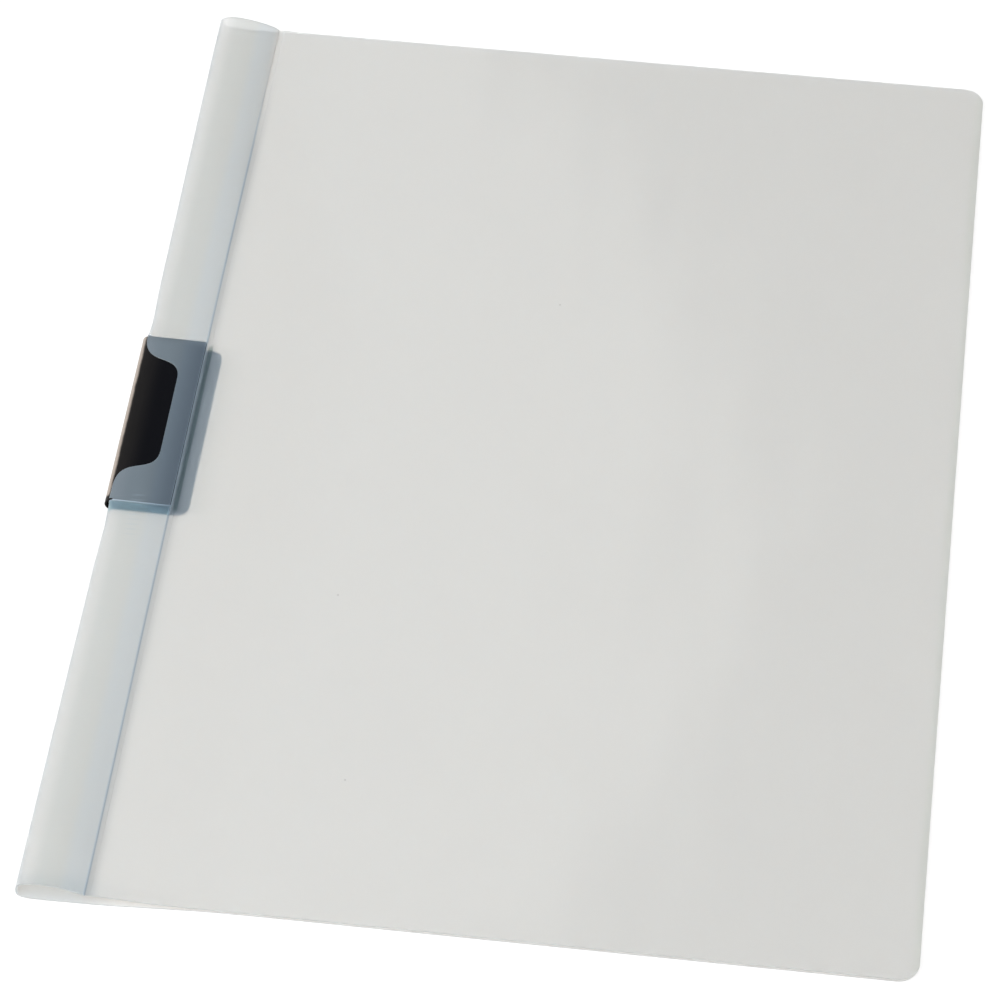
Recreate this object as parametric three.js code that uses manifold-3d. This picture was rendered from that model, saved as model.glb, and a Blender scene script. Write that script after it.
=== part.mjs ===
// A4 clip folder of frosted polypropylene, closed and lying on its back cover.
// One sheet makes the back cover, the spine fold and the margin strip beside the spine.
// The front cover turns on a thin scored groove at the strip's edge.
// A U-shaped spring steel clip slides in from the spine and pinches the papers.
// Millimetres, +Z up. The spine runs along Y at -X, and the covers rest on the plane z = 0.

import * as THREE from 'three';
import { mergeVertices } from 'three/addons/utils/BufferGeometryUtils.js';
import Module from 'manifold-3d';

const wasm = await Module();
wasm.setup();

// Covers
const FOLDER_WIDTH = 222;
const FOLDER_HEIGHT = 310;
const SHEET = 0.4;
const CORNER_RADIUS = 5.5;
const COVER_GAP = 0.3;

// Margin strip and the groove that the front cover turns on
const STRIP_WIDTH = 17.1;
const GROOVE_WIDTH = 1.6;
const GROOVE_WEB = 0.15;
const HINGE_GAP = 0.3;

// Spring clip: its front leg ends just past the strip, and the back leg has a lip beyond that
const CLIP_LENGTH = 59;
const CLIP_SHIFT = -1;
const CLIP_HEIGHT = 3.35;
const CLIP_STEEL = 0.5;
const FRONT_LEG_OVERRUN = 0.1;
const BACK_LEG_LIP = 4.4;
const LEG_CLOSING_ANGLE = 1.3;
const BACK_LEG_CORNER = 3.2;
const FRONT_LEG_CORNER = 0.8;
const CLIP_GAP = 0.2;

// Slot in the fold that the clip slides through, and the thumb notch in the strip
const SLOT_END_CLEARANCE = 0.6;
const SLOT_EDGE_FRONT = 0.9;
const SLOT_EDGE_BACK = 4.2;
const NOTCH_SHIFT = 1.2;
const NOTCH_DEPTH = 11.4;
const NOTCH_MOUTH = 54.3;
const NOTCH_FLOOR = 25.9;
const NOTCH_MOUTH_SWEEP = 11.7;
const NOTCH_FLOOR_SWEEP = 9.7;

// How far the strip takes to settle beside the clip, which holds it up like a tent
const TENT_RUN = 7;

// Finish of the two materials
const FROSTED_COLOR = 0xd8dad7;
const STEEL_COLOR = 0x1b1c1f;

// Where things lie across the folder, measured from the outside of the fold
const GROOVE_START = STRIP_WIDTH;
const GROOVE_END = STRIP_WIDTH + GROOVE_WIDTH;
const FRONT_LEG = STRIP_WIDTH + FRONT_LEG_OVERRUN;
const BACK_LEG = FRONT_LEG + BACK_LEG_LIP;
const HALF_WIDTH = FOLDER_WIDTH / 2;
const HALF_HEIGHT = FOLDER_HEIGHT / 2;
const COVER_LEVEL = SHEET + COVER_GAP + SHEET / 2;
const BACK_LEVEL = SHEET / 2;
const SLOT_HALF = CLIP_LENGTH / 2 + SLOT_END_CLEARANCE;
const TENT_HALF = CLIP_LENGTH / 2 + SLOT_END_CLEARANCE / 2;

// The clip's own section: the bend is an arc about this centre
const BEND_RADIUS = (CLIP_HEIGHT - CLIP_STEEL) / 2;
const BEND_CENTRE = new THREE.Vector2(CLIP_HEIGHT / 2, SHEET + CLIP_GAP + CLIP_HEIGHT / 2);
const CLOSING = THREE.MathUtils.degToRad(LEG_CLOSING_ANGLE);
const TAN_CLOSING = Math.tan(CLOSING);

// Level of the sheet's middle where it rides over the front leg
function levelOverClip(x) {
  const topOfBend = BEND_CENTRE.y + (BEND_RADIUS + CLIP_STEEL / 2) / Math.cos(CLOSING);
  const legTop = topOfBend - (x - BEND_CENTRE.x) * TAN_CLOSING;
  return legTop + CLIP_GAP + SHEET / 2;
}

// The spine tube's section at five places along the fold.
// tip: outermost point of the fold. lift: where the back cover starts to curve up to it.
// crown: highest point of the strip. fullness: how squarely the fold rounds up to it.
// crease: level of the groove.
// shoulder: how far the strip rounds over before the groove. landing: where the front
// cover has come down to lie on the back cover.
const bottomEnd = {
  tipX: 0.3, tipZ: 2.2, liftX: 9, crownX: 8.5, crownZ: 4.2,
  creaseZ: 2.5, shoulderRun: 4, shoulderDrop: 0.8, landingX: 52, fullness: 0.55,
};
const belowClip = {
  tipX: 0.8, tipZ: 2.3, liftX: 8, crownX: 7, crownZ: 4.5,
  creaseZ: levelOverClip(GROOVE_START), shoulderRun: 4, shoulderDrop: 0.7, landingX: 62, fullness: 0.55,
};
const overClip = {
  tipX: 0.2, tipZ: 3, liftX: SLOT_EDGE_BACK - 0.5, crownX: 3.2, crownZ: levelOverClip(3),
  creaseZ: levelOverClip(GROOVE_START), shoulderRun: 5, shoulderDrop: 5 * TAN_CLOSING, landingX: 62,
  fullness: 0.9,
};
const aboveClip = {
  tipX: 0.8, tipZ: 2.3, liftX: 7, crownX: 6, crownZ: 4.5,
  creaseZ: levelOverClip(GROOVE_START), shoulderRun: 3, shoulderDrop: 0.8, landingX: 62, fullness: 0.55,
};
const topEnd = {
  tipX: 0.2, tipZ: 2.6, liftX: 6, crownX: 4.2, crownZ: 4.95,
  creaseZ: 1.25, shoulderRun: 1.2, shoulderDrop: 1.7, landingX: 26, fullness: 0.55,
};

function blendSections(a, b, t) {
  const section = {};
  for (const key of Object.keys(a)) {
    section[key] = THREE.MathUtils.lerp(a[key], b[key], t);
  }
  return section;
}

// Section of the spine tube at height y of the folder
function sectionAt(y) {
  const beyond = Math.abs(y - CLIP_SHIFT) - TENT_HALF;
  const up = y > CLIP_SHIFT;
  const reach = up ? HALF_HEIGHT - CLIP_SHIFT - TENT_HALF : HALF_HEIGHT + CLIP_SHIFT - TENT_HALF;
  const along = THREE.MathUtils.smoothstep(beyond, 0, reach);
  const free = up ? blendSections(aboveClip, topEnd, along) : blendSections(belowClip, bottomEnd, along);
  const settled = THREE.MathUtils.smoothstep(beyond, 0, TENT_RUN);
  return blendSections(overClip, free, settled);
}

// Heights at which sections are taken: closer together where the tent settles
function stationList() {
  const stations = [];
  const tentTop = CLIP_SHIFT + TENT_HALF;
  const tentBottom = CLIP_SHIFT - TENT_HALF;
  const tentSteps = 5;
  const freeSteps = 9;
  const freeFoot = tentBottom - TENT_RUN;
  const freeHead = tentTop + TENT_RUN;
  for (let i = 0; i < freeSteps; i++) {
    stations.push(THREE.MathUtils.lerp(-HALF_HEIGHT, freeFoot, i / freeSteps));
  }
  for (let i = 0; i < tentSteps; i++) {
    stations.push(THREE.MathUtils.lerp(freeFoot, tentBottom, i / tentSteps));
  }
  stations.push(tentBottom);
  for (let i = 0; i < tentSteps; i++) {
    stations.push(THREE.MathUtils.lerp(tentTop, freeHead, i / tentSteps));
  }
  for (let i = 0; i <= freeSteps; i++) {
    stations.push(THREE.MathUtils.lerp(freeHead, HALF_HEIGHT, i / freeSteps));
  }
  return stations;
}

// Cubic curve between two points of a section, leaving and arriving along the given handles
function sectionCurve(start, startHandle, endHandle, end) {
  return new THREE.CubicBezierCurve(
    start,
    start.clone().add(startHandle),
    end.clone().add(endHandle),
    end,
  );
}

// Points along a curve moved sideways by an offset, to the left of its direction of travel
function offsetPoints(curve, steps, offset, skipFirst) {
  const points = [];
  for (let i = skipFirst ? 1 : 0; i <= steps; i++) {
    const t = i / steps;
    const point = curve.getPoint(t);
    const tangent = curve.getTangent(t);
    points.push(new THREE.Vector2(point.x - tangent.y * offset, point.y + tangent.x * offset));
  }
  return points;
}

// Middle line of the folded sheet, from the back cover round the fold to the groove
function foldCurves(s) {
  const round = 0.55;
  const lift = new THREE.Vector2(s.liftX, BACK_LEVEL);
  const tip = new THREE.Vector2(s.tipX, s.tipZ);
  const crown = new THREE.Vector2(s.crownX, s.crownZ);
  const crease = new THREE.Vector2(GROOVE_START, s.creaseZ);
  return [
    {
      steps: 8,
      curve: sectionCurve(
        lift,
        new THREE.Vector2(-round * (lift.x - tip.x), 0),
        new THREE.Vector2(0, -round * (tip.y - lift.y)),
        tip,
      ),
    },
    {
      steps: 7,
      curve: sectionCurve(
        tip,
        new THREE.Vector2(0, s.fullness * (crown.y - tip.y)),
        new THREE.Vector2(-s.fullness * (crown.x - tip.x), 0),
        crown,
      ),
    },
    {
      steps: 10,
      curve: sectionCurve(
        crown,
        new THREE.Vector2(round * 0.6 * (crease.x - crown.x), 0),
        new THREE.Vector2(-s.shoulderRun, s.shoulderDrop),
        crease,
      ),
    },
  ];
}

// Closed outline of the folded sheet's section, with the thin web of the groove at its end
function foldOutline(y) {
  const s = sectionAt(y);
  const outer = [new THREE.Vector2(FOLDER_WIDTH, 0)];
  const inner = [new THREE.Vector2(FOLDER_WIDTH, SHEET)];
  foldCurves(s).forEach(({ curve, steps }, index) => {
    outer.push(...offsetPoints(curve, steps, SHEET / 2, index > 0));
    inner.push(...offsetPoints(curve, steps, -SHEET / 2, index > 0));
  });
  outer.pop();
  inner.pop();
  const under = s.creaseZ - SHEET / 2;
  const webEnd = GROOVE_END - HINGE_GAP;
  const web = [
    new THREE.Vector2(GROOVE_START, s.creaseZ + SHEET / 2),
    new THREE.Vector2(GROOVE_START, under + GROOVE_WEB),
    new THREE.Vector2(webEnd, under + GROOVE_WEB),
    new THREE.Vector2(webEnd, under),
    new THREE.Vector2(GROOVE_START, under),
  ];
  return [...outer, ...web, ...inner.reverse()];
}

// Closed outline of the front cover's section, from the groove down onto the back cover
function coverOutline(y) {
  const s = sectionAt(y);
  const start = new THREE.Vector2(GROOVE_END, s.creaseZ);
  const landing = new THREE.Vector2(s.landingX, COVER_LEVEL);
  const run = landing.x - start.x;
  const slope = sectionCurve(
    start,
    new THREE.Vector2(0.35 * run, 0.2 * (landing.y - start.y)),
    new THREE.Vector2(-0.45 * run, 0),
    landing,
  );
  const steps = 12;
  const under = offsetPoints(slope, steps, -SHEET / 2, true);
  const over = offsetPoints(slope, steps, SHEET / 2, true);
  return [
    new THREE.Vector2(GROOVE_END, s.creaseZ - SHEET / 2),
    ...under,
    new THREE.Vector2(FOLDER_WIDTH, COVER_LEVEL - SHEET / 2),
    new THREE.Vector2(FOLDER_WIDTH, COVER_LEVEL + SHEET / 2),
    ...over.reverse(),
    new THREE.Vector2(GROOVE_END, s.creaseZ + SHEET / 2),
  ];
}

// Triangles of a flat outline, all turning the same way
function fillOutline(outline, anticlockwise) {
  return THREE.ShapeUtils.triangulateShape(outline, []).map(([a, b, c]) => {
    const ab = outline[b].clone().sub(outline[a]);
    const ac = outline[c].clone().sub(outline[a]);
    return ab.cross(ac) > 0 === anticlockwise ? [a, b, c] : [a, c, b];
  });
}

// Skin over a row of sections, closed by a flat face at each end
function loft(outlineAt, stations) {
  const outlines = stations.map(outlineAt);
  if (!THREE.ShapeUtils.isClockWise(outlines[0])) {
    outlines.forEach((outline) => outline.reverse());
  }
  const count = outlines[0].length;
  const positions = [];
  const indices = [];
  outlines.forEach((outline, row) => {
    outline.forEach((p) => positions.push(p.x - HALF_WIDTH, stations[row], p.y));
  });
  for (let row = 0; row + 1 < stations.length; row++) {
    for (let i = 0; i < count; i++) {
      const a = row * count + i;
      const b = row * count + (i + 1) % count;
      indices.push(a, b, a + count);
      indices.push(b, b + count, a + count);
    }
  }
  const lastRow = (stations.length - 1) * count;
  fillOutline(outlines[0], true).forEach((corners) => indices.push(...corners));
  fillOutline(outlines[outlines.length - 1], false).forEach((corners) => {
    indices.push(...corners.map((corner) => corner + lastRow));
  });
  const geometry = new THREE.BufferGeometry();
  geometry.setAttribute('position', new THREE.Float32BufferAttribute(positions, 3));
  geometry.setIndex(indices);
  return geometry;
}

function toSolid(geometry) {
  const bare = geometry.clone();
  bare.deleteAttribute('normal');
  bare.deleteAttribute('uv');
  const merged = mergeVertices(bare, 1e-4);
  const mesh = new wasm.Mesh({
    numProp: 3,
    vertProperties: new Float32Array(merged.attributes.position.array),
    triVerts: new Uint32Array(merged.index.array),
  });
  return new wasm.Manifold(mesh);
}

function toGeometry(solid) {
  const mesh = solid.getMesh();
  const geometry = new THREE.BufferGeometry();
  geometry.setAttribute('position', new THREE.BufferAttribute(new Float32Array(mesh.vertProperties), 3));
  geometry.setIndex(new THREE.BufferAttribute(new Uint32Array(mesh.triVerts), 1));
  const flat = geometry.toNonIndexed();
  flat.computeVertexNormals();
  return flat;
}

// Upright punch of the given plan outline, tall enough to pass through the folder
function punch(shape, low, high) {
  const tool = new THREE.ExtrudeGeometry(shape, { depth: high - low, bevelEnabled: false, curveSegments: 10 });
  tool.translate(-HALF_WIDTH, 0, low);
  return toSolid(tool);
}

const BELOW_FOLDER = -5;
const ABOVE_FOLDER = 20;
const PUNCH_SPARE = 5;

// Plan of a cover: square at the spine, rounded at the two free corners
function coverPlan() {
  const shape = new THREE.Shape();
  shape.moveTo(-PUNCH_SPARE, -HALF_HEIGHT);
  shape.lineTo(FOLDER_WIDTH - CORNER_RADIUS, -HALF_HEIGHT);
  shape.absarc(FOLDER_WIDTH - CORNER_RADIUS, -HALF_HEIGHT + CORNER_RADIUS, CORNER_RADIUS, -Math.PI / 2, 0);
  shape.lineTo(FOLDER_WIDTH, HALF_HEIGHT - CORNER_RADIUS);
  shape.absarc(FOLDER_WIDTH - CORNER_RADIUS, HALF_HEIGHT - CORNER_RADIUS, CORNER_RADIUS, 0, Math.PI / 2);
  shape.lineTo(-PUNCH_SPARE, HALF_HEIGHT);
  shape.closePath();
  return shape;
}

// Plan of the opening in the margin strip: a narrow slot as long as the clip, widened
// between its ends into the thumb notch by two S-shaped sides and a straight floor
function notchPlan() {
  const mouthFoot = NOTCH_SHIFT - NOTCH_MOUTH / 2;
  const mouthHead = NOTCH_SHIFT + NOTCH_MOUTH / 2;
  const floorFoot = NOTCH_SHIFT - NOTCH_FLOOR / 2;
  const floorHead = NOTCH_SHIFT + NOTCH_FLOOR / 2;
  const shape = new THREE.Shape();
  shape.moveTo(-PUNCH_SPARE, CLIP_SHIFT - SLOT_HALF);
  shape.lineTo(SLOT_EDGE_FRONT, CLIP_SHIFT - SLOT_HALF);
  shape.lineTo(SLOT_EDGE_FRONT, mouthFoot);
  shape.bezierCurveTo(
    SLOT_EDGE_FRONT, mouthFoot + NOTCH_MOUTH_SWEEP,
    NOTCH_DEPTH, floorFoot - NOTCH_FLOOR_SWEEP,
    NOTCH_DEPTH, floorFoot,
  );
  shape.lineTo(NOTCH_DEPTH, floorHead);
  shape.bezierCurveTo(
    NOTCH_DEPTH, floorHead + NOTCH_FLOOR_SWEEP,
    SLOT_EDGE_FRONT, mouthHead - NOTCH_MOUTH_SWEEP,
    SLOT_EDGE_FRONT, mouthHead,
  );
  shape.lineTo(SLOT_EDGE_FRONT, CLIP_SHIFT + SLOT_HALF);
  shape.lineTo(-PUNCH_SPARE, CLIP_SHIFT + SLOT_HALF);
  shape.closePath();
  return shape;
}

// Plan of the straight slot in the back cover beside the fold
function slotPlan() {
  const shape = new THREE.Shape();
  shape.moveTo(-PUNCH_SPARE, CLIP_SHIFT - SLOT_HALF);
  shape.lineTo(SLOT_EDGE_BACK, CLIP_SHIFT - SLOT_HALF);
  shape.lineTo(SLOT_EDGE_BACK, CLIP_SHIFT + SLOT_HALF);
  shape.lineTo(-PUNCH_SPARE, CLIP_SHIFT + SLOT_HALF);
  shape.closePath();
  return shape;
}

// Back cover, spine fold and margin strip: one folded sheet
function foldedSheet() {
  const insideTube = BEND_CENTRE.y;
  const sheet = toSolid(loft(foldOutline, stationList()));
  const trimmed = sheet.intersect(punch(coverPlan(), BELOW_FOLDER, ABOVE_FOLDER));
  const slotted = trimmed.subtract(punch(slotPlan(), BELOW_FOLDER, insideTube));
  const notched = slotted.subtract(punch(notchPlan(), insideTube - CLIP_STEEL, ABOVE_FOLDER));
  return toGeometry(notched);
}

function frontCover() {
  const cover = toSolid(loft(coverOutline, stationList()));
  return toGeometry(cover.intersect(punch(coverPlan(), BELOW_FOLDER, ABOVE_FOLDER)));
}

// Section of the clip: flat back leg, round bend, front leg closing towards the back leg
function clipProfile() {
  const outerRadius = BEND_RADIUS + CLIP_STEEL / 2;
  const innerRadius = BEND_RADIUS - CLIP_STEEL / 2;
  const legDirection = new THREE.Vector2(Math.cos(CLOSING), -Math.sin(CLOSING));
  const legNormal = new THREE.Vector2(Math.sin(CLOSING), Math.cos(CLOSING));
  const legLength = (FRONT_LEG - BEND_CENTRE.x) / Math.cos(CLOSING);
  const tipOuter = BEND_CENTRE.clone()
    .addScaledVector(legNormal, outerRadius)
    .addScaledVector(legDirection, legLength - outerRadius * Math.tan(CLOSING));
  const tipInner = tipOuter.clone().addScaledVector(legNormal, -CLIP_STEEL);
  const bendEnd = Math.PI / 2 - CLOSING;
  const shape = new THREE.Shape();
  shape.moveTo(BACK_LEG, BEND_CENTRE.y - outerRadius);
  shape.lineTo(BACK_LEG, BEND_CENTRE.y - innerRadius);
  shape.lineTo(BEND_CENTRE.x, BEND_CENTRE.y - innerRadius);
  shape.absarc(BEND_CENTRE.x, BEND_CENTRE.y, innerRadius, -Math.PI / 2, bendEnd, true);
  shape.lineTo(tipInner.x, tipInner.y);
  shape.lineTo(tipOuter.x, tipOuter.y);
  shape.absarc(BEND_CENTRE.x, BEND_CENTRE.y, outerRadius, bendEnd, -Math.PI / 2, false);
  shape.closePath();
  return shape;
}

// Plan of a leg with rounded free corners
function legPlan(reach, radius) {
  const half = CLIP_LENGTH / 2;
  const shape = new THREE.Shape();
  shape.moveTo(-PUNCH_SPARE, CLIP_SHIFT - half);
  shape.lineTo(reach - radius, CLIP_SHIFT - half);
  shape.absarc(reach - radius, CLIP_SHIFT - half + radius, radius, -Math.PI / 2, 0);
  shape.lineTo(reach, CLIP_SHIFT + half - radius);
  shape.absarc(reach - radius, CLIP_SHIFT + half - radius, radius, 0, Math.PI / 2);
  shape.lineTo(-PUNCH_SPARE, CLIP_SHIFT + half);
  shape.closePath();
  return shape;
}

// Spring steel clip, bent from one strip
function springClip() {
  const strip = new THREE.ExtrudeGeometry(clipProfile(), {
    depth: CLIP_LENGTH,
    bevelEnabled: false,
    curveSegments: 14,
  });
  strip.rotateX(Math.PI / 2);
  strip.translate(-HALF_WIDTH, CLIP_SHIFT + CLIP_LENGTH / 2, 0);
  const midLevel = SHEET + CLIP_GAP + 2 * CLIP_STEEL;
  const backLeg = punch(legPlan(BACK_LEG, BACK_LEG_CORNER), BELOW_FOLDER, midLevel);
  const frontReach = FRONT_LEG + CLIP_STEEL * Math.sin(CLOSING);
  const frontLeg = punch(legPlan(frontReach, FRONT_LEG_CORNER), midLevel, ABOVE_FOLDER);
  return toGeometry(toSolid(strip).intersect(backLeg.add(frontLeg)));
}

function part(name, geometry, material) {
  const mesh = new THREE.Mesh(geometry, material);
  mesh.name = name;
  return mesh;
}

function frosted() {
  return new THREE.MeshStandardMaterial({ color: FROSTED_COLOR, roughness: 0.55, metalness: 0 });
}

function blackenedSteel() {
  return new THREE.MeshStandardMaterial({ color: STEEL_COLOR, roughness: 0.38, metalness: 0.4 });
}

const clipFolder = new THREE.Group();
clipFolder.name = 'clip_folder';
clipFolder.add(part('folded_back_cover', foldedSheet(), frosted()));
clipFolder.add(part('front_cover', frontCover(), frosted()));
clipFolder.add(part('spring_clip', springClip(), blackenedSteel()));

export default clipFolder;
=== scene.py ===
# Clip folder of frosted polypropylene with a black spring steel clip in its spine.
# Sizes in the dictionaries are millimetres, measured across the folder from the outside of the
# spine fold (x), along the spine from the middle of the folder (y) and up from the table (z).
import math

import bmesh
import bpy
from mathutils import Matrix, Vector
from mathutils.geometry import interpolate_bezier, intersect_point_line


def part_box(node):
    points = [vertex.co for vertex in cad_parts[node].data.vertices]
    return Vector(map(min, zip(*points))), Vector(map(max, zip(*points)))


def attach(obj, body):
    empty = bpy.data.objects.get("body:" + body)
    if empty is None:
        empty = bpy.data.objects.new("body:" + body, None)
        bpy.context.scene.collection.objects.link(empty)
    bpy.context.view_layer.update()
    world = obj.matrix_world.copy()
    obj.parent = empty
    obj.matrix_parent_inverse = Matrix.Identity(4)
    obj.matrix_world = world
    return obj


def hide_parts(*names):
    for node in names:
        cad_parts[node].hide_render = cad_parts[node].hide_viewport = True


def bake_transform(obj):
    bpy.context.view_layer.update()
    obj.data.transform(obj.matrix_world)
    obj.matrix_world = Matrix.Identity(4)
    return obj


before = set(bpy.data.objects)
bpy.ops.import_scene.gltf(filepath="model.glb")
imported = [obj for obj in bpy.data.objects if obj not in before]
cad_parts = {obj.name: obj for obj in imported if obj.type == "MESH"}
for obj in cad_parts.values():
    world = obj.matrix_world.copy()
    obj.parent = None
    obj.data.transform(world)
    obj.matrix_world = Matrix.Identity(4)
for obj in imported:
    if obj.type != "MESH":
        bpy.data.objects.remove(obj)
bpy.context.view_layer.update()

mm = 0.001
backLow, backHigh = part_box("folded_back_cover")
clipLow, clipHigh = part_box("spring_clip")
spineX = backLow.x
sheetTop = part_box("front_cover")[0].z + 0.4 * mm
folderWidth = (backHigh.x - backLow.x) / mm
folderHeight = (backHigh.y - backLow.y) / mm
halfHeight = folderHeight / 2
scene = bpy.context.scene


# Camera, at the place that gives the photograph's perspective of the folder's outline
cameraSet = {
    "place": (0.08387, -0.76545, 0.88497),
    "aim": (-0.00830, -0.01443, 0.0),
    "lens": 158.29,
    "sensor": 36.0,
}


def addCamera(s):
    data = bpy.data.cameras.new("camera")
    data.lens = s["lens"]
    data.sensor_width = s["sensor"]
    data.clip_start = 0.01
    data.clip_end = 20
    camera = bpy.data.objects.new("camera", data)
    scene.collection.objects.link(camera)
    camera.location = s["place"]
    direction = Vector(s["aim"]) - Vector(s["place"])
    camera.rotation_mode = "QUATERNION"
    camera.rotation_quaternion = direction.to_track_quat("-Z", "Y")
    scene.camera = camera


addCamera(cameraSet)
print("camera placed")


# A value of a material: arithmetic on it adds Math nodes
class Value:
    def __init__(self, shader, socket):
        self.shader = shader
        self.socket = socket

    def math(self, operation, *others):
        inputs = dict(enumerate((self,) + others))
        return self.shader.node("ShaderNodeMath", {"operation": operation}, inputs)

    def __add__(self, other):
        return self.math("ADD", other)

    __radd__ = __add__

    def __mul__(self, other):
        return self.math("MULTIPLY", other)

    __rmul__ = __mul__

    def __sub__(self, other):
        return self.math("SUBTRACT", other)

    def __rsub__(self, other):
        return self.shader.node("ShaderNodeMath", {"operation": "SUBTRACT"}, {0: other, 1: self})

    # Goes smoothly from 0 at low to 1 at high
    def rise(self, low, high):
        settings = {"interpolation_type": "SMOOTHSTEP"}
        return self.shader.node("ShaderNodeMapRange", settings, {0: self, 1: low, 2: high})

    # 1 between low and high, with a soft edge at each
    def band(self, low, high, soft):
        return self.rise(low - soft / 2, low + soft / 2) - self.rise(high - soft / 2, high + soft / 2)


# The nodes of a material or a world
class Shader:
    def __init__(self, owner):
        self.owner = owner
        owner.use_nodes = True
        self.tree = owner.node_tree
        self.tree.nodes.clear()

    def node(self, kind, settings=None, inputs=None, output=0):
        made = self.tree.nodes.new(kind)
        for name, value in (settings or {}).items():
            setattr(made, name, value)
        for key, value in (inputs or {}).items():
            if isinstance(value, Value):
                self.tree.links.new(value.socket, made.inputs[key])
            else:
                made.inputs[key].default_value = value
        return Value(self, made.outputs[output])

    # Point of the surface, and its distances in mm: across from the fold, along the spine and up.
    # With bends set, a sheet reads the places that its points have in the closed folder, kept with its mesh.
    def place(self, bends=False):
        if bends:
            spot = self.node("ShaderNodeAttribute", {"attribute_name": "closedPlace"}, output="Vector")
        else:
            spot = self.node("ShaderNodeTexCoord", output="Object")
        x, y, z = [self.node("ShaderNodeSeparateXYZ", inputs={0: spot}, output=i) for i in range(3)]
        return spot, (x - spineX) * (1 / mm), y * (1 / mm), z * (1 / mm)

    def noise(self, spot, scale, detail=2.0, stretch=(1, 1, 1)):
        moved = self.node("ShaderNodeMapping", inputs={"Vector": spot, "Scale": stretch})
        return self.node("ShaderNodeTexNoise", inputs={"Vector": moved, "Scale": scale, "Detail": detail})

    def mix(self, share, first, second):
        return self.node("ShaderNodeMix", {"data_type": "RGBA"}, {0: share, 6: first, 7: second}, output=2)

    def multiply(self, color, other, share=1.0):
        settings = {"data_type": "RGBA", "blend_type": "MULTIPLY"}
        return self.node("ShaderNodeMix", settings, {0: share, 6: color, 7: other}, output=2)

    # Multiplies a colour by a tint where the mask is 1
    def tint(self, mask, color, tint):
        return self.multiply(color, tint + (1,), mask)

    def distance(self, spot, point):
        return self.node("ShaderNodeVectorMath", {"operation": "DISTANCE"}, {0: spot, 1: point}, output=1)

    def output(self, surface, kind="ShaderNodeOutputMaterial"):
        end = self.tree.nodes.new(kind)
        self.tree.links.new(surface.socket, end.inputs["Surface"])
        return self.owner


def newMaterial(name):
    return Shader(bpy.data.materials.new(name))


# Frosted polypropylene film: a milky share that scatters light back, a little blue, and a clear
# share whose rough faces blur what lies behind the sheet. The tones multiply the colour of both
# in the places named below, several of them as painted shade or painted shadow. The row before
# the last turns the milky colour towards a darker one as painted shade, and the last row adds to
# the milky share there, in part as painted highlight.
filmLook = {
    "milk": (0.60, 0.735, 0.855, 1),
    # painted shade: the darker milky colour of the groove, the strip's slope and the film over the back leg
    "milkInShade": (0.31, 0.395, 0.49, 1),
    "clear": (0.995, 0.90, 0.80, 1),
    "milkShare": 0.25,
    "gloss": 0.45,
    "ior": 1.49,
    "haze": 0.29,
    "bend": 1.2,
    "grain": 0.35,
    "tones": {
        # the strip tone past the crown and the groove tone are painted shade
        "stripShade": (0.89, 0.91, 0.91), "blue": (0.98, 1.01, 1.05), "grooveShade": (0.89, 0.92, 0.94),
        # besideClip is deeper painted shade in the groove, line a painted shadow line beyond it
        "besideClip": (0.90, 0.90, 0.89), "line": (0.55, 0.62, 0.62), "foot": (0.72, 0.85, 0.89),
        "shadow": (0.965, 0.97, 0.97), "contact": (0.972, 0.972, 0.972), "rim": (0.95, 0.96, 0.945),
        # mouth is painted shade inside the tube's open end
        "mouth": (0.83, 0.855, 0.87), "speck": (0.75, 0.75, 0.75),
    },
    # painted shade on the strip's slope, in the groove and over the clip's back leg
    "milkShadeShares": {"slope": 1.0, "grooveShade": 0.7, "backLeg": 0.4},
    # the lip, the crease at the clip's foot and the cut edges get painted highlights; the wrinkles are real, with
    # painted glints
    "milkMore": {"overLeg": 0.03, "lip": 0.35, "cutHighlight": 0.55, "fold": 0.45, "wrinklesAndGlints": 0.08},
}
# Where the film changes tone, in mm from the fold and along it: the strip's crown, past which the
# strip is painted in shade, its bluer side, the groove beside it, painted in shade, with a painted
# highlight on its lip and a painted shadow line beyond it, the crease over the clip's lower end
# with a painted highlight and its wrinkles, and the bowed line beyond which front and back cover
# cling together
stripTones = {"crown": 4.0, "blue": 11.5, "lip": 17.2, "line": 18.8, "level": 1.8}
clipFoot, clipTop = clipLow.y / mm, clipHigh.y / mm
contactLine = {"middle": 168.0, "bow": 0.0022, "centre": -35.0}
specks = ((34.3, 52.2), (110.6, 56.7), (65.0, -52.7), (75.5, -111.8))


# Places on the covers, beyond the spine
def coverPlaces(sh, spot, across, along, up, ragged):
    fromCentre = along - contactLine["centre"]
    bowed = contactLine["middle"] - fromCentre * fromCentre * contactLine["bow"]
    speck = 0.0
    for x, y in specks:
        point = Vector((spineX + x * mm, y * mm, sheetTop))
        speck = speck + (1 - sh.distance(spot, point).rise(0.2 * mm, 0.4 * mm))
    return {
        "contact": (across - bowed + ragged * 60.0).rise(-30.0, 25.0),
        "rim": (across + ragged * 2.0).rise(folderWidth - 2.6, folderWidth - 0.4),
        "speck": speck,
    }


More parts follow.
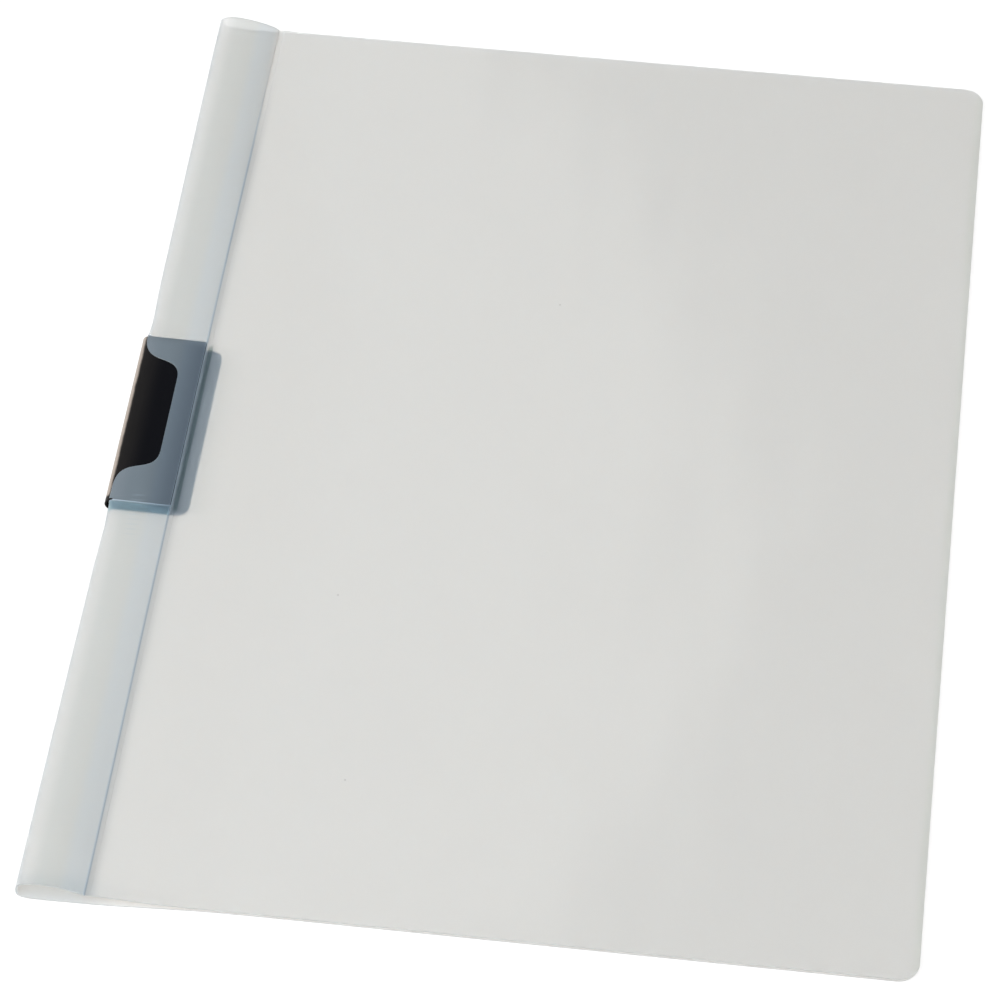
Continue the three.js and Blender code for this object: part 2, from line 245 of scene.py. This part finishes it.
# Places on the strip, the groove and the covers beside them
def spinePlaces(sh, spot, across, along, up, ragged):
    upperPly = up.rise(stripTones["level"] - 0.5, stripTones["level"] + 0.5)
    crown, blue = stripTones["crown"], stripTones["blue"]
    lip, line = stripTones["lip"], stripTones["line"]
    pastLip = across.rise(lip - 0.2, lip + 0.2)
    pastLine = across.rise(line - 0.4, line)
    onStrip = upperPly * (1 - pastLip)
    besideClip = along.band(clipFoot - 1.5, clipTop - 1.5, 2.0)
    overBackLeg = along.band(clipFoot - 2.5, clipTop - 3.5, 2.5)
    # painted shade in the groove beside the strip
    grooveShade = upperPly * pastLip * (1 - across.rise(lip + 0.4, lip + 3.6))
    dashes = ((along + ragged * 3.0) * 3.6).math("SINE").rise(0.2, 1.0)
    return {
        # painted shade: the strip darker past its crown, where it turns from the light
        "stripShade": across.rise(crown - 2.0, crown + 2.0) * onStrip,
        "blue": across.rise(blue - 1.5, blue + 1.5) * onStrip,
        "grooveShade": grooveShade,
        # painted shade as the strip slopes down away from the light, deeper beside the clip
        "slope": across.rise(6.0, 19.0) * onStrip * (0.25 + besideClip * 0.75),
        # painted highlight along the strip's lip, where its edge catches the light
        "lip": upperPly * across.band(lip - 0.2, lip + 0.3, 0.3),
        # painted shadow: a dark line beyond the groove, beside the clip
        "line": besideClip * upperPly * across.band(line - 0.8, line + 0.4, 0.4),
        # painted highlight along the crease where the film bends over the clip's lower end
        "fold": along.band(clipFoot - 0.15, clipFoot + 0.1, 0.1) * onStrip,
        "foot": along.band(clipFoot - 3.2, clipFoot - 0.3, 0.8) * onStrip,
        # wrinkles in the film, with painted glints on them
        "wrinklesAndGlints": dashes * across.band(7.0, 10.0, 3.0) * along.band(clipFoot - 12.0, clipFoot + 4.0, 4.0),
        # painted highlight: the film lighter close to the cut edges of the notch and slot
        "cutHighlight": sh.node("ShaderNodeAttribute", {"attribute_name": "cutHighlight"}, output=2).rise(0.6, 1.0),
        # painted shade: the groove darker still beside the clip
        "besideClip": besideClip * grooveShade,
        "overLeg": besideClip * onStrip,
        # painted shade on the film over the clip's back leg
        "backLeg": overBackLeg * upperPly * across.band(line + 0.2, 21.8, 0.8),
        "shadow": besideClip * pastLine * (1 - across.rise(22.0, 30.0)),
        # painted shade inside the open bottom end of the spine tube
        "mouth": (1 - upperPly) * (1 - across.rise(12.0, 30.0)) * (1 - along.rise(3.0 - halfHeight, 8.0 - halfHeight)),
    }


def weighed(places, shares):
    total = 0.0
    for place, share in shares.items():
        if place in places:
            total = total + places[place] * share
    return total


def frostedFilm(name, s, findPlaces):
    sh = newMaterial(name)
    spot, across, along, up = sh.place(bends=True)
    grain = sh.noise(spot, 1 / (s["grain"] * mm), 0.0)
    waves = sh.noise(spot, 90.0, 0.0, (1, 0.15, 1))
    places = findPlaces(sh, spot, across, along, up, waves - 0.5)
    tone = (1, 1, 1, 1)
    for place, tint in s["tones"].items():
        if place in places:
            tone = sh.tint(places[place], tone, tint)
    milkColor = sh.mix(weighed(places, s["milkShadeShares"]), s["milk"], s["milkInShade"])
    milkColor = sh.multiply(milkColor, tone)
    clearColor = sh.multiply(s["clear"], tone)
    height = grain + waves * 3.0
    normal = sh.node("ShaderNodeBump", inputs={"Height": height, "Strength": 0.1, "Distance": 0.08 * mm})
    milk = sh.node(
        "ShaderNodeBsdfPrincipled",
        inputs={"Base Color": milkColor, "Roughness": s["gloss"], "IOR": s["ior"], "Normal": normal},
    )
    clear = sh.node(
        "ShaderNodeBsdfPrincipled",
        inputs={
            "Base Color": clearColor,
            "Roughness": s["haze"],
            "IOR": s["bend"],
            "Transmission Weight": 1.0,
            "Normal": normal,
        },
    )
    share = s["milkShare"] + (grain - 0.5) * 0.015 + weighed(places, s["milkMore"])
    return sh.output(sh.node("ShaderNodeMixShader", inputs={0: share, 1: clear, 2: milk}))


# Cut edges of the film, which collect the light that runs inside the sheet; at the notch they are painted lighter
# still, a painted highlight against the black steel
edgeLook = {
    "milk": (0.69, 0.72, 0.73, 1),
    "litAtNotch": (0.80, 0.88, 0.92, 1),
    "clear": (0.97, 0.965, 0.95, 1),
    "milkShare": 0.6,
    "gloss": 0.45,
    "haze": 0.5,
    "ior": 1.49,
    "bend": 1.2,
    "grain": 0.12,
}


def filmEdge(name, s):
    sh = newMaterial(name)
    spot, across, along, up = sh.place(bends=True)
    grain = sh.noise(spot, 1 / (s["grain"] * mm))
    normal = sh.node("ShaderNodeBump", inputs={"Height": grain, "Strength": 0.3, "Distance": 0.02 * mm})
    # painted highlight: lighter cut edges at the notch
    litAtNotch = (1 - across.rise(13.0, 15.0)) * along.band(clipFoot, clipTop, 2.0)
    color = sh.mix(litAtNotch, s["milk"], s["litAtNotch"])
    milk = sh.node(
        "ShaderNodeBsdfPrincipled",
        inputs={"Base Color": color, "Roughness": s["gloss"], "IOR": s["ior"], "Normal": normal},
    )
    clear = sh.node(
        "ShaderNodeBsdfPrincipled",
        inputs={
            "Base Color": s["clear"],
            "Roughness": s["haze"],
            "IOR": s["bend"],
            "Transmission Weight": 1.0,
            "Normal": normal,
        },
    )
    share = s["milkShare"] + (grain - 0.5) * 0.1
    return sh.output(sh.node("ShaderNodeMixShader", inputs={0: share, 1: clear, 2: milk}))


# Black coated spring steel, painted lighter towards the bend as painted sheen from the light at the left, and worn to
# metal along its outside, where a painted highlight lies over the wear
steelLook = {
    "coat": (0.0025, 0.0028, 0.0045, 1),
    "litNearBend": (0.014, 0.013, 0.013, 1),
    "wornAndLit": (0.42, 0.365, 0.32, 1),
    "roughness": 0.42,
    "level": 0.08,
    "wornTo": 0.7,
}


def blackSteel(name, s):
    sh = newMaterial(name)
    spot, across, along, up = sh.place()
    grain = sh.noise(spot, 2500.0)
    brushed = sh.noise(spot, 1500.0, 3.0, (1, 0.05, 1))
    scuffs = sh.noise(spot, 260.0, 4.0)
    # painted sheen: the coat lighter near the bend, where it catches the light from the left
    litNearBendShare = 1 - across.rise(1.0, 7.5)
    # worn to metal along the bend's outside, painted lighter there as the highlight along the bend
    wornAndLit = 1 - (across + (scuffs - 0.5) * 0.5).rise(s["wornTo"] - 0.5, s["wornTo"] + 0.3)
    wornAndLit = wornAndLit * along.rise(clipFoot + 1.2, clipFoot + 2.4)
    color = sh.mix(litNearBendShare * (0.7 + brushed * 0.6), s["coat"], s["litNearBend"])
    color = sh.mix(wornAndLit, color, s["wornAndLit"])
    height = grain + brushed * 0.6
    normal = sh.node("ShaderNodeBump", inputs={"Height": height, "Strength": 0.2, "Distance": 0.03 * mm})
    paint = sh.node(
        "ShaderNodeBsdfPrincipled",
        inputs={
            "Base Color": color,
            "Metallic": wornAndLit * 0.5,
            "Roughness": s["roughness"] + (grain - 0.5) * 0.12,
            "Specular IOR Level": s["level"],
            "Normal": normal,
        },
    )
    return sh.output(paint)


coverFilm = frostedFilm("frosted_polypropylene", filmLook, coverPlaces)
spineFilm = frostedFilm("frosted_polypropylene_at_spine", filmLook, spinePlaces)
cutEdge = filmEdge("frosted_polypropylene_cut_edge", edgeLook)
steel = blackSteel("black_spring_steel", steelLook)
print("materials made")


# Folded sheet: back cover, spine fold, margin strip and front cover, cut from one film
sheet = {
    "thickness": 0.4,
    "cornerRadius": 5.5,
    "coverGap": 0.3,
    "stripWidth": 17.1,
    "grooveWidth": 1.6,
    "webThickness": 0.15,
    "seam": 0.02,
    "slotBack": 4.2,
    "slotFront": 0.9,
    "slotSpare": 0.6,
    "tuck": 1.1,
    "notchShift": 1.2,
    "notchDepth": 11.4,
    "notchMouth": 54.3,
    "notchFloor": 25.9,
    "mouthSweep": 11.7,
    "floorSweep": 9.7,
    "tentRun": 7.0,
    "lastRow": 6.5,
    "runOut": 1.5,
    "runOutReach": (12.0, 55.0),
    "runOutLength": 40.0,
    "spineZone": 30.5,
}
clip = {
    "height": 3.35,
    "steel": 0.5,
    "frontLeg": 17.2,
    "backLeg": 21.6,
    "closing": math.radians(1.3),
    "backCorner": 3.2,
    "frontCorner": 0.8,
    "gap": 0.2,
    "edgeRounding": 0.08,
}
clipMiddle = (clipLow.y + clipHigh.y) / 2 / mm
clipHalf = (clipHigh.y - clipLow.y) / 2 / mm
slotHalf = clipHalf + sheet["slotSpare"]
slotFoot, slotHead = clipMiddle - slotHalf, clipMiddle + slotHalf
tentHalf = clipHalf + sheet["slotSpare"] / 2
grooveStart = sheet["stripWidth"]
grooveEnd = grooveStart + sheet["grooveWidth"]
backLevel = sheet["thickness"] / 2
coverLevel = sheet["thickness"] * 1.5 + sheet["coverGap"]
bendCentre = Vector((clip["height"] / 2, sheet["thickness"] + clip["gap"] + clip["height"] / 2))


def at(x, y, z):
    return Vector((spineX + x * mm, y * mm, z * mm))


def lerp(a, b, t):
    return a + (b - a) * t


def smooth(value, low, high):
    t = min(max((value - low) / (high - low), 0), 1)
    return t * t * (3 - 2 * t)


def spread(start, end, steps):
    return [lerp(start, end, i / steps) for i in range(steps + 1)]


# Level of the film's middle where it rides over the clip's front leg
def overClipLevel(x):
    topOfBend = bendCentre.y + clip["height"] / 2 / math.cos(clip["closing"])
    drop = (x - bendCentre.x) * math.tan(clip["closing"])
    return topOfBend - drop + clip["gap"] + sheet["thickness"] / 2


# Sections of the spine tube at five places along the fold
creaseOverClip = overClipLevel(grooveStart)
bottomEnd = dict(
    tipX=0.3, tipZ=2.2, liftX=9.0, crownX=6.5, crownZ=4.2, creaseZ=2.5,
    shoulderRun=4.0, shoulderDrop=0.8, landingX=52.0, fullness=0.75, belly=0.85,
)
belowClip = dict(
    tipX=0.8, tipZ=2.3, liftX=8.0, crownX=7.0, crownZ=4.5, creaseZ=creaseOverClip,
    shoulderRun=4.0, shoulderDrop=0.7, landingX=62.0, fullness=0.55, belly=0.55,
)
overClip = dict(
    tipX=0.2, tipZ=3.0, liftX=sheet["slotBack"] - 0.5, crownX=3.2, crownZ=overClipLevel(3.0),
    creaseZ=creaseOverClip, shoulderRun=5.0, shoulderDrop=5.0 * math.tan(clip["closing"]),
    landingX=62.0, fullness=0.9, belly=0.55,
)
aboveClip = dict(
    tipX=0.8, tipZ=2.3, liftX=7.0, crownX=6.0, crownZ=4.5, creaseZ=creaseOverClip,
    shoulderRun=3.0, shoulderDrop=0.8, landingX=62.0, fullness=0.55, belly=0.55,
)
topEnd = dict(
    tipX=0.2, tipZ=2.6, liftX=6.0, crownX=4.2, crownZ=4.95, creaseZ=1.25,
    shoulderRun=1.2, shoulderDrop=1.7, landingX=26.0, fullness=0.55, belly=0.55,
)


def blended(a, b, t):
    return {key: lerp(a[key], b[key], t) for key in a}


def sectionAt(y):
    beyond = abs(y - clipMiddle) - tentHalf
    if y > clipMiddle:
        free = blended(aboveClip, topEnd, smooth(beyond, 0, halfHeight - clipMiddle - tentHalf))
    else:
        free = blended(belowClip, bottomEnd, smooth(beyond, 0, halfHeight + clipMiddle - tentHalf))
    section = blended(overClip, free, smooth(beyond, 0, sheet["tentRun"]))
    tucked = lerp(sheet["tuck"], free["tipX"], smooth(beyond, sheet["tentRun"], 3 * sheet["tentRun"]))
    section["tipX"] = lerp(section["tipX"], tucked, smooth(beyond, 0, sheet["slotSpare"] / 2))
    return section


def curve(start, startHandle, endHandle, end, steps):
    a, d = Vector(start), Vector(end)
    return interpolate_bezier(a, a + Vector(startHandle), d + Vector(endHandle), d, steps + 1)


# Middle line of the fold as a fine chain of points, from the back cover round to the groove
def foldLine(s):
    steps = 60
    lift = (s["liftX"], backLevel)
    tip = (s["tipX"], s["tipZ"])
    crown = (s["crownX"], s["crownZ"])
    toTip = (-s["belly"] * (lift[0] - tip[0]), 0)
    intoTip = (0, -s["belly"] * (tip[1] - lift[1]))
    fromTip = (0, s["fullness"] * (crown[1] - tip[1]))
    intoCrown = (-s["fullness"] * (crown[0] - tip[0]), 0)
    fromCrown = ((grooveStart - crown[0]) / 3, 0)
    shoulder = (-s["shoulderRun"], s["shoulderDrop"])
    line = [Vector((max(lift[0], sheet["slotBack"]), backLevel))]
    line += curve(lift, toTip, intoTip, tip, steps)
    line += curve(tip, fromTip, intoCrown, crown, steps)[1:]
    line += curve(crown, fromCrown, shoulder, (grooveStart, s["creaseZ"]), steps)[1:]
    return line


def lengthsAlong(line):
    lengths = [0.0]
    for a, b in zip(line, line[1:]):
        lengths.append(lengths[-1] + (b - a).length)
    return lengths


# Point of a chain at a distance along it
def pointAt(line, lengths, distance):
    for i in range(len(line) - 1):
        if lengths[i] < lengths[i + 1] and distance <= lengths[i + 1]:
            return line[i].lerp(line[i + 1], (distance - lengths[i]) / (lengths[i + 1] - lengths[i]))
    return line[-1]


# Distance along the chain at which its upper side crosses x
def distanceAtX(line, lengths, x):
    for i in range(len(line) - 1, 0, -1):
        a, b = line[i - 1], line[i]
        if a.x <= x <= b.x and b.x > a.x:
            return lerp(lengths[i - 1], lengths[i], (x - a.x) / (b.x - a.x))
    return lengths[-1]


# One S-shaped side of the thumb notch: distance from the notch's middle, and depth of the cut
def notchSide(steps):
    mouth = (sheet["notchMouth"] / 2, sheet["slotFront"])
    floor = (sheet["notchFloor"] / 2, sheet["notchDepth"])
    return curve(mouth, (-sheet["mouthSweep"], 0), (sheet["floorSweep"], 0), floor, steps)


side = notchSide(20)


# How far from the spine the strip is cut at height y
def cutAt(y):
    away = abs(y - sheet["notchShift"])
    if away >= side[0].x:
        return side[0].y
    for a, b in zip(side, side[1:]):
        if b.x <= away <= a.x:
            return lerp(a.y, b.y, (a.x - away) / (a.x - b.x))
    return side[-1].y


# Distance from a point of the strip to the edge of the notch or slot
def distanceToCut(x, y):
    spot = Vector((abs(y - sheet["notchShift"]), x))
    nearest = max(x - side[0].y, 0)
    for a, b in zip(side, side[1:]):
        foot, share = intersect_point_line(spot, a, b)
        foot = a.lerp(b, min(max(share, 0), 1))
        nearest = min(nearest, (spot - foot).length)
    return nearest


# Heights of the rows of the sheets' meshes, with one on each edge of the slot and the notch
def rowHeights():
    last, run, shift = sheet["lastRow"], sheet["tentRun"], sheet["notchShift"]
    rows = [-halfHeight]
    rows += spread(-halfHeight + last, slotFoot - run, 26)
    rows += spread(slotFoot - run, slotFoot, 10)[1:]
    rows += spread(slotFoot, shift - side[0].x, 4)[1:]
    rows += [shift - p.x for p in side[1:]]
    rows += spread(shift - side[-1].x, shift + side[-1].x, 8)[1:-1]
    rows += [shift + p.x for p in reversed(side)]
    rows += spread(shift + side[0].x, slotHead, 3)[1:]
    rows += spread(slotHead, slotHead + run, 10)[1:]
    rows += spread(slotHead + run, halfHeight - last, 26)[1:]
    return rows + [halfHeight]


rows = rowHeights()


# The bottom edge of the sheet runs out a little further under the fold than along the covers
def runOutAt(x, y, z):
    underFold = 1 - smooth(x, *sheet["runOutReach"])
    low = 1 - smooth(z, 0, bottomEnd["crownZ"])
    nearEnd = 1 - smooth(y, -halfHeight, -halfHeight + sheet["runOutLength"])
    return sheet["runOut"] * underFold * low * nearEnd


# A flat grid moved onto the sections: columnsAt(y) gives one (x, z) for each of its columns
def gridOnto(columnsAt):
    shape = [columnsAt(y) for y in rows]
    lastColumn, lastRow = len(shape[0]) - 1, len(rows) - 1
    bm = bmesh.new()
    bmesh.ops.create_grid(bm, x_segments=lastColumn, y_segments=lastRow, size=1)
    cells = {}
    for vertex in bm.verts:
        column = round((vertex.co.x + 1) / 2 * lastColumn)
        row = round((vertex.co.y + 1) / 2 * lastRow)
        cells[vertex] = (column, rows[row])
        x, z = shape[row][column]
        vertex.co = at(x, rows[row] - runOutAt(x, rows[row], z), z)
    return bm, cells


def roundCorners(bm):
    right, half = spineX + folderWidth * mm, halfHeight * mm
    corners = [v for v in bm.verts if abs(v.co.x - right) < 1e-6 and abs(abs(v.co.y) - half) < 1e-6]
    bmesh.ops.bevel(
        bm, geom=corners, offset=sheet["cornerRadius"] * mm, offset_type="OFFSET", affect="VERTICES",
        segments=10, profile=0.5, material=-1, clamp_overlap=False,
    )


# The film's two materials meet where the tones of the spine have faded out
def sheetObject(name, bm):
    limit = spineX + sheet["spineZone"] * mm
    for face in bm.faces:
        face.material_index = 0 if min(v.co.x for v in face.verts) > limit else 2
    return meshObject(name, bm, coverFilm, cutEdge, spineFilm, cutEdge)


def meshObject(name, bm, *materials):
    mesh = bpy.data.meshes.new(name)
    bm.to_mesh(mesh)
    bm.free()
    mesh.shade_smooth()
    for material in materials:
        mesh.materials.append(material)
    made = bpy.data.objects.new(name, mesh)
    scene.collection.objects.link(made)
    return made


# Gives a surface the film's thickness, with cut edges of their own material, as a real mesh
def thicken(piece, group=""):
    solid = piece.modifiers.new("thickness", "SOLIDIFY")
    solid.thickness = sheet["thickness"] * mm
    solid.offset = 0
    solid.material_offset_rim = 1
    solid.vertex_group = group
    bpy.context.view_layer.update()
    evaluated = piece.evaluated_get(bpy.context.evaluated_depsgraph_get())
    mesh = bpy.data.meshes.new_from_object(evaluated)
    piece.modifiers.clear()
    piece.vertex_groups.clear()
    piece.data = mesh
    mesh.name = piece.name
    mesh.set_sharp_from_angle(angle=math.radians(35))
    closedPlace = mesh.attributes.new("closedPlace", "FLOAT_VECTOR", "POINT")
    for vertex in mesh.vertices:
        closedPlace.data[vertex.index].vector = vertex.co


backColumns, foldColumns, stripColumns = 16, 30, 34


def foldedColumns(y):
    line = foldLine(sectionAt(y))
    lengths = lengthsAlong(line)
    foremost = min(point.x for point in line)
    cut = distanceAtX(line, lengths, max(cutAt(y), foremost + 0.05))
    flat = [folderWidth] + spread(folderWidth - sheet["lastRow"], line[0].x, backColumns)
    distances = spread(0, cut, foldColumns)[1:] + spread(cut, lengths[-1], stripColumns)[1:]
    around = [pointAt(line, lengths, distance) for distance in distances]
    return [(x, backLevel) for x in flat] + [(p.x, p.y) for p in around]


def foldedSheet():
    bm, cells = gridOnto(foldedColumns)
    firstCut = backColumns + 1
    lastCut = firstCut + foldColumns

    def inOpening(face):
        columns = [cells[v][0] for v in face.verts]
        heights = [cells[v][1] for v in face.verts]
        across = min(columns) >= firstCut and max(columns) <= lastCut
        return across and min(heights) > slotFoot - 1e-6 and max(heights) < slotHead + 1e-6

    bmesh.ops.delete(bm, geom=[f for f in bm.faces if inOpening(f)], context="FACES")
    # closeness to the cut, for the painted highlight along the cut edges
    cutHighlight = bm.verts.layers.float.new("cutHighlight")
    for vertex, (column, y) in cells.items():
        if vertex.is_valid and column >= lastCut and slotFoot - 1e-6 < y < slotHead + 1e-6:
            vertex[cutHighlight] = max(0, 1 - distanceToCut((vertex.co.x - spineX) / mm, y))
    roundCorners(bm)
    bmesh.ops.reverse_faces(bm, faces=bm.faces)
    piece = sheetObject("back_cover_sheet", bm)
    thicken(piece)
    return piece


webColumns, slopeColumns, coverColumns = 6, 30, 16


def frontColumns(y):
    s = sectionAt(y)
    drop = (sheet["thickness"] - sheet["webThickness"]) / 2
    run, fall = s["landingX"] - grooveEnd, coverLevel - s["creaseZ"]
    web = spread(grooveStart + sheet["seam"], grooveEnd - sheet["webThickness"], webColumns)
    start, landing = (grooveEnd, s["creaseZ"]), (s["landingX"], coverLevel)
    slope = curve(start, (0.35 * run, 0.2 * fall), (-0.45 * run, 0), landing, slopeColumns)
    flat = spread(s["landingX"], folderWidth - sheet["lastRow"], coverColumns)[1:] + [folderWidth]
    line = [(x, s["creaseZ"] - drop) for x in web] + [(p.x, p.y) for p in slope]
    return line + [(x, coverLevel) for x in flat]


def frontSheet():
    bm, cells = gridOnto(frontColumns)
    roundCorners(bm)
    piece = sheetObject("front_cover_sheet", bm)
    group = piece.vertex_groups.new(name="full_thickness")
    webEnd = spineX + (grooveEnd - sheet["webThickness"] / 2) * mm
    for vertex in piece.data.vertices:
        share = sheet["webThickness"] / sheet["thickness"] if vertex.co.x < webEnd else 1.0
        group.add([vertex.index], share, "REPLACE")
    thicken(piece, group.name)
    return piece


backSheet = foldedSheet()
print("back sheet made,", len(backSheet.data.polygons), "faces")
coverSheet = frontSheet()
print("front sheet made,", len(coverSheet.data.polygons), "faces")


# Spring clip: one steel strip bent to a U, with rounded free corners
def clipSection():
    outer = clip["height"] / 2
    closing = clip["closing"]
    along = Vector((math.cos(closing), -math.sin(closing)))
    out = Vector((math.sin(closing), math.cos(closing)))
    reach = (clip["frontLeg"] - bendCentre.x) / math.cos(closing) - outer * math.tan(closing)
    angles = spread(-math.pi / 2, -1.5 * math.pi - closing, 28)
    bend = [bendCentre + outer * Vector((math.cos(a), math.sin(a))) for a in angles]
    return [Vector((clip["backLeg"], bendCentre.y - outer))] + bend + [bendCentre + out * outer + along * reach]


def springClip():
    bm = bmesh.new()
    chain = [bm.verts.new(at(p.x, clipMiddle - clipHalf, p.y)) for p in clipSection()]
    edges = [bm.edges.new(pair) for pair in zip(chain, chain[1:])]
    grown = bmesh.ops.extrude_edge_only(bm, edges=edges)["geom"]
    moved = [v for v in grown if isinstance(v, bmesh.types.BMVert)]
    bmesh.ops.translate(bm, vec=(0, 2 * clipHalf * mm, 0), verts=moved)
    betweenTips = spineX + (clip["frontLeg"] + clip["backLeg"]) / 2 * mm
    nearFrontTip = spineX + (clip["frontLeg"] - 1) * mm
    backTip = [v for v in bm.verts if v.co.x > betweenTips]
    frontTip = [v for v in bm.verts if nearFrontTip < v.co.x < betweenTips]
    for corners, radius in ((backTip, clip["backCorner"]), (frontTip, clip["frontCorner"])):
        bmesh.ops.bevel(
            bm, geom=corners, offset=radius * mm, affect="VERTICES", segments=8, profile=0.5,
            material=-1, clamp_overlap=False,
        )
    bmesh.ops.solidify(bm, geom=bm.faces, thickness=clip["steel"] * mm)
    bmesh.ops.recalc_face_normals(bm, faces=bm.faces)
    piece = meshObject("spring_clip_steel", bm, steel)
    rounded = piece.modifiers.new("edge_rounding", "BEVEL")
    rounded.width = clip["edgeRounding"] * mm
    rounded.segments = 2
    rounded.limit_method = "ANGLE"
    rounded.angle_limit = math.radians(40)
    rounded.harden_normals = True
    return piece


clipPiece = springClip()
print("clip made")

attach(backSheet, "back")
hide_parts("folded_back_cover")
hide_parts("front_cover")
at(grooveStart, 0, 0)
at(grooveEnd, 0, 0)
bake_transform(coverSheet)
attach(clipPiece, "clip")
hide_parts("spring_clip")


# Studio: a white floor inside a white wall, and soft light from above
studio = {
    "floorRadius": 4.0,
    "wallHeight": 2.2,
    "floorWhite": 0.9,
    "glow": 0.8,
    "shadowShare": 0.26,
    "room": 0.25,
}


def backdropWhite(s):
    sh = newMaterial("backdrop_white")
    matt = sh.node("ShaderNodeBsdfDiffuse", inputs={"Color": (s["floorWhite"],) * 3 + (1,)})
    white = sh.node("ShaderNodeEmission", inputs={"Color": (1, 1, 1, 1), "Strength": 1.0})
    glow = sh.node("ShaderNodeEmission", inputs={"Color": (1, 1, 1, 1), "Strength": s["glow"]})
    shaded = sh.node("ShaderNodeBsdfDiffuse", inputs={"Color": (s["shadowShare"],) * 3 + (1,)})
    seen = sh.node("ShaderNodeAddShader", inputs={0: glow, 1: shaded})
    camera = sh.node("ShaderNodeLightPath", output="Is Camera Ray")
    glossy = sh.node("ShaderNodeLightPath", output="Is Glossy Ray")
    through = sh.node("ShaderNodeLightPath", output="Is Transmission Ray")
    mirrored = (glossy + through).math("MINIMUM", 1.0)
    surface = sh.node("ShaderNodeMixShader", inputs={0: mirrored, 1: matt, 2: white})
    return sh.output(sh.node("ShaderNodeMixShader", inputs={0: camera, 1: surface, 2: seen}))


def addBackdrop(s):
    bm = bmesh.new()
    bmesh.ops.create_circle(bm, cap_ends=True, segments=64, radius=s["floorRadius"])
    bmesh.ops.translate(bm, verts=bm.verts, vec=(0, 0, -0.1 * mm))
    rim = [e for e in bm.edges if e.is_boundary]
    grown = bmesh.ops.extrude_edge_only(bm, edges=rim)["geom"]
    wall = [v for v in grown if isinstance(v, bmesh.types.BMVert)]
    bmesh.ops.translate(bm, verts=wall, vec=(0, 0, s["wallHeight"]))
    floor = meshObject("floor", bm, backdropWhite(s))
    floor.data.shade_flat()


def addLamp(name, place, size, power):
    data = bpy.data.lights.new(name, "AREA")
    data.size = size
    data.energy = power
    lamp = bpy.data.objects.new(name, data)
    scene.collection.objects.link(lamp)
    lamp.location = place
    lamp.rotation_mode = "QUATERNION"
    lamp.rotation_quaternion = (-Vector(place)).to_track_quat("-Z", "Y")


# The room is dim, but light that has come through the film finds it white
def addRoom(s):
    scene.world = bpy.data.worlds.new("studio")
    sh = Shader(scene.world)
    dim = sh.node("ShaderNodeBackground", inputs={"Color": (1, 1, 1, 1), "Strength": s["room"]})
    white = sh.node("ShaderNodeBackground", inputs={"Color": (1, 1, 1, 1), "Strength": 1.0})
    through = sh.node("ShaderNodeLightPath", output="Is Transmission Ray")
    surface = sh.node("ShaderNodeMixShader", inputs={0: through, 1: dim, 2: white})
    sh.output(surface, "ShaderNodeOutputWorld")


addBackdrop(studio)
addLamp("key", (-1.3, -0.35, 1.35), 1.2, 37.0)
addLamp("fill", (1.3, -0.3, 1.45), 1.2, 12.5)
addRoom(studio)
scene.view_settings.view_transform = "Standard"
print("studio lit")
